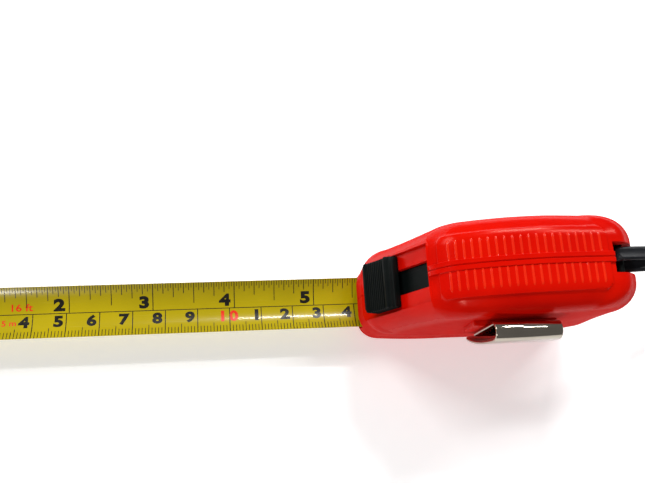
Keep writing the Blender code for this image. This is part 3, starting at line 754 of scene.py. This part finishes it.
def relief(s, y):
    """How deep the surface lies under the plain roof: the ground round the raised grip panel is
    sunk most, the panel less, and the band down its middle comes up to the roof."""
    middle, half = (PANEL[0] + PANEL[1]) / 2, (PANEL[1] - PANEL[0]) / 2
    dx = max(abs(s - middle) - half + PANEL_CORNER, 0)
    dy = max(y - PANEL_HALF + PANEL_CORNER, 0)
    inside = PANEL_CORNER - (dx * dx + dy * dy) ** 0.5
    inside = min(inside, half - abs(s - middle), PANEL_HALF - y)
    on_panel = smooth(inside / PANEL_RIM)
    near = 1 - smooth((-inside - PANEL_GROUND) / PANEL_FADE)
    on_roof = smooth((s + ROOF_FADE / 2) / ROOF_FADE)
    band = (1 - smooth((y - BAND_HALF) / BAND_EDGE)) * on_roof
    ground = (PANEL_SUNK + PANEL_STEP) * near * (1 - on_panel) * (1 - band)
    before_back = smooth((PANEL[1] + SEAM_PAST_PANEL - s) / ROOF_FADE)
    on_seam = 1 - smooth((y - SEAM_GROOVE_HALF) / SEAM_GROOVE_EDGE)
    groove = SEAM_GROOVE * on_seam * (on_roof * before_back)
    return ground + PANEL_SUNK * on_panel * (1 - band) + groove


def spots(inset=0.0):
    outline = case_outline()
    count = len(outline)
    made = []
    s = 0.0
    for i, p in enumerate(outline):
        if i:
            s += (p - outline[i - 1]).length
        along = (outline[(i + 1) % count] - outline[i - 1]).normalized()
        made.append(Spot(p, along, s, inset))
    return made


def spot_at(s):
    """The station s along the roof."""
    line = roof_curve()
    passed = 0.0
    for a, b in zip(line, line[1:]):
        length = (b - a).length
        if passed + length >= s:
            return Spot(a.lerp(b, (s - passed) / length), (b - a).normalized(), s)
        passed += length
    raise ValueError(s)


def shell_rings(side):
    """Rings from the seam to the middle of one side."""
    stations = spots()
    groove_and_band = (SEAM_SEEN, 0.00014, 0.0003, 0.0009, 0.0013, 0.0014, 0.00152, 0.00165, 0.0019)
    rings = [[spot.across(y) for spot in stations] for y in groove_and_band]
    last = groove_and_band[-1]
    flat_rows = 9
    for i in range(1, flat_rows):
        rings.append([])
        for spot in stations:
            flat = spot.half - spot.fillet
            rings[-1].append(spot.across(last + (flat - last) * i / flat_rows))
    round_rows = 26
    rings += [[spot.rounded(i / round_rows) for spot in stations] for i in range(round_rows + 1)]
    shrinks = (0.97, 0.93, 0.87, 0.8, 0.7, 0.58, 0.44, 0.28, 0.12)
    rings += [[spot.rounded(1, k) for spot in stations] for k in shrinks]
    rings = [[Vector((p.x, side * p.y, p.z)) for p in ring] for ring in rings]
    middle = (PROFILE_CENTRE.x, side * CASE_SIDE_HALF, PROFILE_CENTRE.y)
    return rings + [[middle]]


def hollow(side):
    """The inside of one half, less the posts, bosses and walls that stand in it."""
    stations = spots(WALL)[::4]
    first = [spot.rounded(0, 1, False) for spot in stations]
    rings = [[Vector((p.x, -0.001, p.z)) for p in first]]
    rings += [[spot.rounded(i / 8, 1, False) for spot in stations] for i in range(9)]
    rings += [[spot.rounded(1, k, False) for spot in stations] for k in (0.8, 0.5, 0.2)]
    rings = [[Vector((p.x, side * p.y, p.z)) for p in ring] for ring in rings]
    middle = (PROFILE_CENTRE.x, side * (CASE_SIDE_HALF - WALL), PROFILE_CENTRE.y)
    made = mesh_object("hollow", loft(rings + [[middle]]))
    # The cutters run from just past the seam to well outside the case.
    far, near = side * 0.020, -side * 0.002
    for x, z in CASE_SCREWS:
        boolean(made, mesh_object("post", rod(x, z, POST_RADIUS, near, far, 24)))
        if side > 0:
            boolean(made, mesh_object("collar", rod(x, z, COLLAR_RADIUS, COLLAR_FOOT, far, 24)))
    boss = rod(REEL.x, REEL.z, ARBOR_BOSS_RADIUS, side * ARBOR_BOSS_TOP, far)
    boolean(made, mesh_object("boss", boss))
    if side < 0:
        boss = rod(CLIP_X, CLIP_SCREW_Z, CLIP_BOSS_RADIUS, -CLIP_BOSS_TOP, far)
        boolean(made, mesh_object("boss", boss))
    for name, shape in (
        ("notch_walls", box(
            (NOTCH_X - INNER_WALL, CASE_LENGTH + 0.001), (-0.0075, 0.0075), (NOTCH_Z - INNER_WALL, 0.0666)
        )),
        ("recess_floor", slope_box(0.0115, (-0.006, RECESS_END + 0.0016), (-0.0032, 0.006))),
        ("chin", box((-0.001, 0.006), (-0.0095, 0.0095), (-0.001, BLADE_Z - 0.0019))),
    ):
        boolean(made, mesh_object(name, shape))
    return made


def slope_box(half_y, d, h, corner=0.0):
    """A box laid along the lock's slope, with its upright edges rounded by corner."""
    plan = []
    for dx, dy, start in ((1, -1, -90), (1, 1, 0), (-1, 1, 90), (-1, -1, 180)):
        end_d = d[1] if dx > 0 else d[0]
        round_d, round_y = end_d - dx * corner, dy * (half_y - corner)
        for i in range(7 if corner else 1):
            turn = radians(start + 15 * i)
            plan.append((round_d + corner * cos(turn), round_y + corner * sin(turn)))
    rings = []
    for height in h:
        ring = []
        for a, y in plan:
            p = on_slope(a, height)
            ring.append((p.x, y, p.y))
        rings.append(ring)
    return loft(rings)


def case_openings(side):
    """The cutters of one half's mouth, lock recess and slot, strap notch and round holes."""
    mouth = box(
        (-0.002, MOUTH_DEPTH), (-MOUTH_HALF, MOUTH_HALF), (BLADE_Z - MOUTH_UNDER, BLADE_Z + MOUTH_OVER)
    )
    slot_foot, slot_floor = 0.003, -0.006
    way_end = RECESS_END + LOCK_TRAVEL + 0.0009
    ledge = RECESS_END - 0.0003
    slot = [
        on_slope(slot_foot, slot_floor),
        on_slope(way_end, slot_floor),
        on_slope(way_end, 0.0003 - TONGUE_DEPTH),
        on_slope(ledge, 0.0003 - TONGUE_DEPTH),
        on_slope(ledge, 0.001 - RECESS_DEPTH),
        on_slope(slot_foot, 0.001 - RECESS_DEPTH),
    ]
    shapes = [
        mouth,
        slope_box(RECESS_HALF, (-0.012, RECESS_END), (-RECESS_DEPTH, 0.012), 0.0005),
        prism([tuple(p) for p in slot], -SLOT_HALF, SLOT_HALF),
        box((NOTCH_X, CASE_LENGTH + 0.003), (-NOTCH_HALF, NOTCH_HALF), (NOTCH_Z, CASE_HEIGHT + 0.003)),
        rod(PIN_X, PIN_Z, 0.0015, -0.0064, 0.0064),
        rod(REEL.x, REEL.z, ARBOR_HOLE, -0.0135, 0.0135),
    ]
    for x, z in CASE_SCREWS:
        if side < 0:
            shapes.append(rod(x, z, SCREW_PILOT, -0.0097, 0.001))
        else:
            seat = SCREW_SEAT - 0.0003
            profile = [(SCREW_CLEARANCE, -0.001), (SCREW_CLEARANCE, seat)]
            profile += [(SCREW_COUNTERBORE, seat), (SCREW_COUNTERBORE, 0.020)]
            shapes.append(turned(profile, (x, 0, z), "Y", 32))
    if side < 0:
        shapes.append(rod(CLIP_X, CLIP_SCREW_Z, 0.0017, -0.020, -0.0113))
    return shapes


def case_half(side, look):
    node = "case_left" if side < 0 else "case_right"
    made = mesh_object("shell_left" if side < 0 else "shell_right", loft(shell_rings(side)), look, 28)
    if side < 0:
        pad = rounded_box(CLIP_PAD[0], (-CLIP_PAD_Y, -0.0125), CLIP_PAD[1], 0.0006)
        boolean(made, mesh_object("pad", pad), "UNION")
    boolean(made, hollow(side))
    for shape in case_openings(side):
        boolean(made, mesh_object("opening", shape))
    made.data.shade_smooth()
    made.data.set_sharp_from_angle(angle=radians(28))
    finish_piece(made, "case", (node,))


def rounded_box(x, y, z, corner):
    """A box along y with rounded edges all round its x, z outline and its first y face."""
    rings = []
    near = corner * 0.3
    for depth, inset in ((y[0], corner), (y[0] + near, near), (y[0] + corner, 0), (y[1], 0)):
        ring = []
        for cx, cz, start in ((1, 1, 0), (0, 1, 90), (0, 0, 180), (1, 0, 270)):
            px = x[cx] + corner * (1 - 2 * cx)
            pz = z[cz] + corner * (1 - 2 * cz)
            for i in range(7):
                turn = radians(start + 15 * i)
                ring.append((px + (corner - inset) * cos(turn), depth, pz + (corner - inset) * sin(turn)))
        rings.append(ring)
    return loft(rings)


def grip_ribs(side, look):
    """Fine rounded ribs standing across the panel, each tapering out at its ends."""
    bm = bmesh.new()
    root = 0.0004
    steps = 14
    for i in range(RIB_COUNT):
        s = RIB_FIRST + RIB_PITCH * i
        before, here, after = (spot_at(s + shift * RIB_HALF) for shift in (-1, 0, 1))
        rings = []
        for j in range(steps + 1):
            share = j / steps
            y = RIB_SPAN[0] + (RIB_SPAN[1] - RIB_SPAN[0]) * share
            left, middle, right = before.across(y), here.across(y), after.across(y)
            out = (right - left).normalized().cross(Vector((0, 1, 0)))
            out = out if out.z > 0 else -out
            fade = min(1, 6 * share, 6 * (1 - share)) ** 0.5
            ring = []
            for k in range(9):
                turn = pi * k / 8
                width = (right - left) / 2 * cos(turn) * (0.4 + 0.6 * fade)
                rise = out * (RIB_HEIGHT * sin(turn) * (0.15 + 0.85 * fade) - 0.00008)
                ring.append(middle + width + rise)
            quarter = (right - left) / 4
            ring += [middle - quarter - out * root, middle + quarter - out * root]
            rings.append([Vector((p.x, side * p.y, p.z)) for p in ring])
        loft(rings, bm)
    name = "grip_ribs_left" if side < 0 else "grip_ribs_right"
    piece(name, bm, look, "case", sharp=50)


# ---------------- blade

def blade_station(x):
    """The blade's underside height at its middle and its cup, at x."""
    leave = 0.010
    share = smooth((x - leave) / (BLADE_END - leave))
    foot = REEL.z - COIL_RADIUS - BLADE_THICKNESS - 0.0003
    return BLADE_Z + share * (foot - BLADE_Z), BLADE_CUP * (1 - share)


def blade_point(x, y, above=0.0):
    """A point at x, y on the blade's upper face, or above it."""
    low, cup = blade_station(x)
    return Vector((x, y, low + cup * (y / BLADE_HALF) ** 2 + BLADE_THICKNESS + above))


def bend_with_blade(made, replaces=()):
    """Hides the CAD nodes that the strip replaces and bakes its placement into its mesh."""
    finish_piece(made, None, replaces)
    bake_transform(made)


def blade(look):
    """The cupped steel strip from its tip to the reel, with the holes for the rivets."""
    tip = -BLADE_OUT + HOOK_PLAY + 0.0003
    rows, across = 240, 20
    rings = []
    for i in range(rows + 1):
        x = tip + (BLADE_END - tip) * i / rows
        half = BLADE_HALF if i else BLADE_HALF - 0.0002
        ys = [half * (2 * j / across - 1) for j in range(across + 1)]
        upper = [blade_point(x, y) for y in ys]
        lower = [blade_point(x, y, -BLADE_THICKNESS) for y in ys]
        rings.append(upper + lower[::-1])
    made = mesh_object("blade_strip", loft(rings), look, 50)
    for offset in RIVETS:
        hole = turned([(0.0013, 0.004), (0.0013, 0.013)], (offset - BLADE_OUT, 0, 0), "Z", 24)
        boolean(made, mesh_object("rivet_hole", hole))
    bend_with_blade(made, ("blade_end", "blade_run"))


def stroke(bm, x, y, width, along_x=False):
    """A thin printed line across the blade from y[0] to y[1], or along it."""
    spans = ceil(abs((x[1] - x[0]) if along_x else (y[1] - y[0])) / 0.0012)
    rings = []
    for i in range(spans + 1):
        share = i / spans
        ring = []
        for side, above in ((-1, 0), (1, 0), (1, -1), (-1, -1)):
            height = INK_HEIGHT if above == 0 else INK_FOOT
            if along_x:
                ring.append(blade_point(x[0] + (x[1] - x[0]) * share, y + side * width / 2, height))
            else:
                ring.append(blade_point(x + side * width / 2, y[0] + (y[1] - y[0]) * share, height))
        rings.append(ring)
    loft(rings, bm)


def inch_ticks(bm):
    """Inches on the upper edge, to the middle line, with halves down to thirty-seconds."""
    lengths = ((32, 0.0080), (16, 0.0059), (8, 0.0040), (4, 0.0029), (2, 0.0021), (1, 0.0013))
    for n in range(3, int(INK_END / INCH * 32) + 1):
        x = n * INCH / 32 - BLADE_OUT
        length = next(reach for step, reach in lengths if n % step == 0)
        width = 0.00026 if n % 32 == 0 else 0.00022 if n % 4 == 0 else 0.00017
        stroke(bm, x, (BLADE_HALF - 0.0001, BLADE_HALF - 0.0001 - length), width)


def metric_ticks(bm):
    """Millimetres on the lower edge, centimetres to the middle line."""
    for n in range(3, int(INK_END * 1000) + 1):
        x = n / 1000 - BLADE_OUT
        length = 0.0079 if n % 10 == 0 else 0.0033 if n % 5 == 0 else 0.0023
        width = 0.00026 if n % 10 == 0 else 0.0002
        stroke(bm, x, (0.0001 - BLADE_HALF, length - BLADE_HALF), width)


def numeral(bm, text, x, y, height, stretch, bold):
    """Printed text with its right edge at x and its foot at y, laid on the cupped blade."""
    curve = bpy.data.curves.new("numeral", "FONT")
    curve.body = text
    curve.offset = bold
    curve.extrude = 0.02
    curve.resolution_u = 4
    made = bpy.data.objects.new("numeral", curve)
    bpy.context.collection.objects.link(made)
    bpy.context.view_layer.update()
    evaluated = made.evaluated_get(bpy.context.evaluated_depsgraph_get())
    mesh = bpy.data.meshes.new_from_object(evaluated)
    bpy.data.objects.remove(made)
    text_bm = bmesh.new()
    text_bm.from_mesh(mesh)
    bmesh.ops.remove_doubles(text_bm, verts=text_bm.verts, dist=0.0001)
    low = Vector([min(v.co[i] for v in text_bm.verts) for i in range(3)])
    high = Vector([max(v.co[i] for v in text_bm.verts) for i in range(3)])
    scale = height / (high.y - low.y)
    cuts = 4
    for i in range(1, cuts):
        level = low.y + (high.y - low.y) * i / cuts
        everything = text_bm.verts[:] + text_bm.edges[:] + text_bm.faces[:]
        bmesh.ops.bisect_plane(
            text_bm, geom=everything, plane_co=(0, level, 0), plane_no=(0, 1, 0), dist=0.00001
        )
    for v in text_bm.verts:
        above = INK_HEIGHT if v.co.z > 0 else INK_FOOT
        across = x + (v.co.x - high.x) * scale * stretch
        v.co = blade_point(across, y + (v.co.y - low.y) * scale, above)
    mesh.clear_geometry()
    text_bm.to_mesh(mesh)
    text_bm.free()
    bm.from_mesh(mesh)
    bpy.data.meshes.remove(mesh)


def scale_numbers(black, red):
    """Inches and the last figure of centimetres, with red for ten and for the tape's length."""
    for inch in range(1, 7):
        numeral(black, str(inch), inch * INCH - 0.0012 - BLADE_OUT, 0.0007, 0.0038, 1.36, 0.055)
    for centimetre in range(1, 18):
        right = centimetre / 100 - 0.0009 - BLADE_OUT
        if centimetre == 10:
            numeral(red, "1", right - 0.0008, -0.0044, 0.0036, 1.2, 0.04)
            numeral(red, "0", right + 0.0036, -0.0044, 0.0036, 1.2, 0.04)
            continue
        numeral(black, str(centimetre % 10), right, -0.0044, 0.0037, 1.26, 0.05)
    numeral(red, "16 ft", 0.0400 - BLADE_OUT, 0.0010, 0.0022, 1.25, 0.015)
    numeral(red, "5 m", 0.0352 - BLADE_OUT, -0.0036, 0.0018, 1.15, 0.015)


def blade_scale(materials):
    black, red = bmesh.new(), bmesh.new()
    inch_ticks(black)
    metric_ticks(black)
    stroke(black, (0.003 - BLADE_OUT, INK_END - BLADE_OUT), 0.0, 0.00022, along_x=True)
    scale_numbers(black, red)
    for name, bm, look in (("scale_black", black, "ink_black"), ("scale_red", red, "ink_red")):
        bend_with_blade(mesh_object(name, bm, materials[look], 50))


# ---------------- hook rivets and screws

def rivets(look):
    """The hook's two rivets, with domed and dimpled heads above the blade."""
    foot = BLADE_Z - 0.00125
    seat = BLADE_Z + BLADE_THICKNESS + 0.0003
    for i, offset in enumerate(RIVETS):
        profile = [(0, foot - 0.0005), (0.0012, foot - 0.0005), (0.0019, foot - 0.0003), (0.0020, foot)]
        profile += [(0.0011, foot), (0.0011, seat), (0.0020, seat)]
        profile += [(0.0020 * cos(radians(t)), seat + 0.0006 * sin(radians(t))) for t in (20, 40, 60, 78)]
        profile += [(0.0005, seat + 0.00045), (0.0004, seat + 0.0003), (0, seat + 0.0003)]
        bm = turned(profile, (offset - BLADE_OUT, 0, 0), "Z", 36)
        node = f"hook_rivet_{i + 1}"
        piece(f"rivet_{i + 1}", bm, look, "blade", (node,))


def cross(x, z, y, arm, width, towards, tilt):
    """The two cutters of a cross recess that narrows as it goes in."""
    shapes = []
    for turn in (tilt, tilt + 90):
        a = radians(turn)
        rings = []
        for depth, share in ((0.0012, 1.15), (0.0, 1.0), (-0.0009, 0.45)):
            ring = []
            for u, v in ((-1, -1), (1, -1), (1, 1), (-1, 1)):
                p, q = u * arm * share, v * width * (0.6 + 0.4 * share)
                ring.append((
                    x + p * cos(a) - q * sin(a), y + towards * depth, z + p * sin(a) + q * cos(a)
                ))
            rings.append(ring)
        shapes.append(loft(rings))
    return shapes


def case_screws(look):
    for i, (x, z) in enumerate(CASE_SCREWS):
        profile = [(0, -0.0092), (0.0005, -0.0090), (0.0011, -0.0078)]
        for turn in range(24):
            y = -0.0076 + 0.0007 * turn
            profile += [(0.0011, y), (0.00088, y + 0.00035)]
        profile += [(0.0011, SCREW_SEAT), (SCREW_HEAD - 0.0001, SCREW_SEAT)]
        profile += [(SCREW_HEAD, SCREW_SEAT + 0.0001), (SCREW_HEAD, SCREW_SEAT + 0.0007)]
        for share in (0.96, 0.86, 0.7, 0.45, 0):
            bulge = (1 - share * share) ** 0.5
            profile.append((SCREW_HEAD * share, SCREW_SEAT + 0.0007 + 0.0010 * bulge))
        made = mesh_object(f"screw_{i + 1}", turned(profile, (x, 0, z), "Y", 36), look)
        for shape in cross(x, z, SCREW_SEAT + 0.0017, 0.0014, 0.00035, 1, 25 + 37 * i):
            boolean(made, mesh_object("cross", shape))
        made.data.set_sharp_from_angle(angle=radians(32))
        finish_piece(made, "case", (f"case_screw_{i + 1}",))


def clip_screw(look):
    seat = CLIP_LEAF_Y - CLIP_THICKNESS / 2 - 0.0003
    profile = [(0, seat - 0.0014), (0.0012, seat - 0.00133), (0.0020, seat - 0.0011)]
    profile += [(0.0025, seat - 0.0007), (0.0027, seat - 0.0003), (0.0027, seat)]
    profile += [(0.0014, seat), (0.0014, -0.0122), (0, -0.0116)]
    made = mesh_object("leaf_screw", turned(profile, (CLIP_X, 0, CLIP_SCREW_Z), "Y", 40), look)
    for shape in cross(CLIP_X, CLIP_SCREW_Z, seat - 0.0014, 0.0015, 0.00035, -1, 15):
        boolean(made, mesh_object("cross", shape))
    made.data.set_sharp_from_angle(angle=radians(32))
    finish_piece(made, "case", ("clip_screw",))


# ---------------- lock

def lock_profile():
    """The thumb piece's outline along the slope: front lip, fine ribs, ridge and ramp."""
    under = 0.0003 - RECESS_DEPTH
    points = [(LOCK_START - 0.0005, under), (LOCK_START - 0.0005, 0.0022), (LOCK_START - 0.0003, 0.0026)]
    points += [(LOCK_START, 0.0028), (LOCK_START + 0.0006, 0.0028)]
    first, pitch = LOCK_START + 0.0010, 0.00078
    for i in range(9):
        d = first + pitch * i
        base = 0.0024 - 0.0005 * smooth((d - LOCK_START) / 0.006)
        points += [(d, base - 0.00022), (d + 0.00012, base)]
        points += [(d + 0.00036, base), (d + 0.00048, base - 0.00022)]
    ridge = LOCK_START + 0.0094
    points += [(ridge - 0.0004, 0.0019), (ridge - 0.0001, 0.0024), (ridge + 0.0002, 0.0026)]
    points += [(ridge + 0.0006, 0.0025), (ridge + 0.0009, 0.0020), (ridge + 0.0014, 0.0016)]
    points += [(LOCK_END - 0.0004, 0.0009), (LOCK_END - 0.0001, 0.0007)]
    points += [(LOCK_END, 0.0003), (LOCK_END, under)]
    return points


def lock_button(look):
    """The thumb piece, with the front corners cut off and its edges eased."""
    profile = lock_profile()
    chamfer = 0.0013
    rings = []
    for share, inset in (
        (-1, 0.0003), (-0.985, 0.0001), (-0.965, 0), (-0.82, 0), (-0.4, 0), (0, 0),
        (0.4, 0), (0.82, 0), (0.965, 0), (0.985, 0.0001), (1, 0.0003),
    ):
        y = share * LOCK_HALF + LOCK_SHIFT
        front = LOCK_START - 0.0005 + max(abs(share) * LOCK_HALF - (LOCK_HALF - chamfer), 0) + inset
        ring = []
        for d, h in profile:
            low = h < 0
            p = on_slope(min(max(d, front), LOCK_END - inset), h if low else max(h - inset, 0))
            ring.append((p.x, y, p.y))
        rings.append(ring)
    piece("thumb_button", loft(rings), look, "lock", ("lock_button",), 26)


# ---------------- belt clip

def clip_line():
    """The strip's middle line in the y, z plane, from inner leaf to tip."""
    fold_y = CLIP_LEAF_Y - CLIP_FOLD_RADIUS
    outer = fold_y - CLIP_FOLD_RADIUS
    line = [Vector((CLIP_LEAF_Y, 0.0365)), Vector((CLIP_LEAF_Y, 0.0500))]
    line += arc(fold_y, CLIP_FOLD_Z, CLIP_FOLD_RADIUS, 0, 180, 24)
    leaf = [(0, 0.0530), (0.0003, 0.0495), (0.0009, 0.0445), (0.0018, 0.0395), (0.0029, 0.0350)]
    leaf += [(0.0041, 0.0315), (0.0051, 0.0292)]
    points = [Vector((outer + out, z, 0)) for out, z in leaf]
    return resample(line + [p.xy for p in through(points, 6)], CLIP_SPACING)


def belt_clip(look):
    """The strip of the clip, with rounded corners, which bends over its fold."""
    line = clip_line()
    total = len(line) - 1
    rings = []
    for i, p in enumerate(line):
        along = (line[min(i + 1, total)] - line[max(i - 1, 0)]).normalized()
        normal = Vector((-along.y, along.x)) * CLIP_THICKNESS / 2
        left = min(i, total - i) * CLIP_SPACING
        pull = CLIP_CORNER - (CLIP_CORNER * CLIP_CORNER - max(CLIP_CORNER - left, 0) ** 2) ** 0.5
        half = CLIP_HALF - pull
        ring = []
        for a, b in ((-1, 0.4), (-1, 0.8), (-1, 1), (1, 1), (1, 0.8), (1, 0.4),
                     (1, -0.4), (1, -0.8), (1, -1), (-1, -1), (-1, -0.8), (-1, -0.4)):
            out = CLIP_EDGE if abs(b) == 1 else CLIP_EDGE * 0.3 if abs(b) == 0.8 else 0
            q = p + normal * b
            ring.append((CLIP_X + a * (half - out), q.x, q.y))
        rings.append(ring)
    made = mesh_object("clip_strip", loft(rings), look, 40)
    hole = rod(CLIP_X, CLIP_SCREW_Z, 0.0018, CLIP_LEAF_Y - 0.0009, CLIP_LEAF_Y + 0.0009)
    boolean(made, mesh_object("hole", hole))
    made.data.set_sharp_from_angle(angle=radians(40))
    finish_piece(made, None, ("belt_clip",))
    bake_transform(made)


# ---------------- carried-over pieces

def finish_nodes(materials):
    """The CAD nodes that are seen as they are get their looks."""
    finishes = {
        "steel": ("arbor",),
        "hook": ("end_hook",),
        "grey": ("reel", "reel_lid"),
        "coil": ("blade_coil",),
        "spring": ("return_spring",),
        "black": ("lock_slider", "strap_pin"),
        "rubber": ("brake_shoe",),
    }
    for look, names in finishes.items():
        for name in names:
            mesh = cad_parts[name].data
            for i in range(max(len(mesh.materials), 1)):
                if i < len(mesh.materials):
                    mesh.materials[i] = materials[look]
                else:
                    mesh.materials.append(materials[look])


def main():
    camera()
    materials = looks()
    wrist_strap(materials["strap"])
    studio()
    floor(floor_paper())
    for side in (-1, 1):
        case_half(side, materials["red"])
        grip_ribs(side, materials["rib_red_painted_highlight"])
    case_screws(materials["steel"])
    clip_screw(materials["steel"])
    lock_button(materials["black"])
    belt_clip(materials["chrome"])
    blade(materials["blade"])
    blade_scale(materials)
    rivets(materials["steel"])
    finish_nodes(materials)


main()
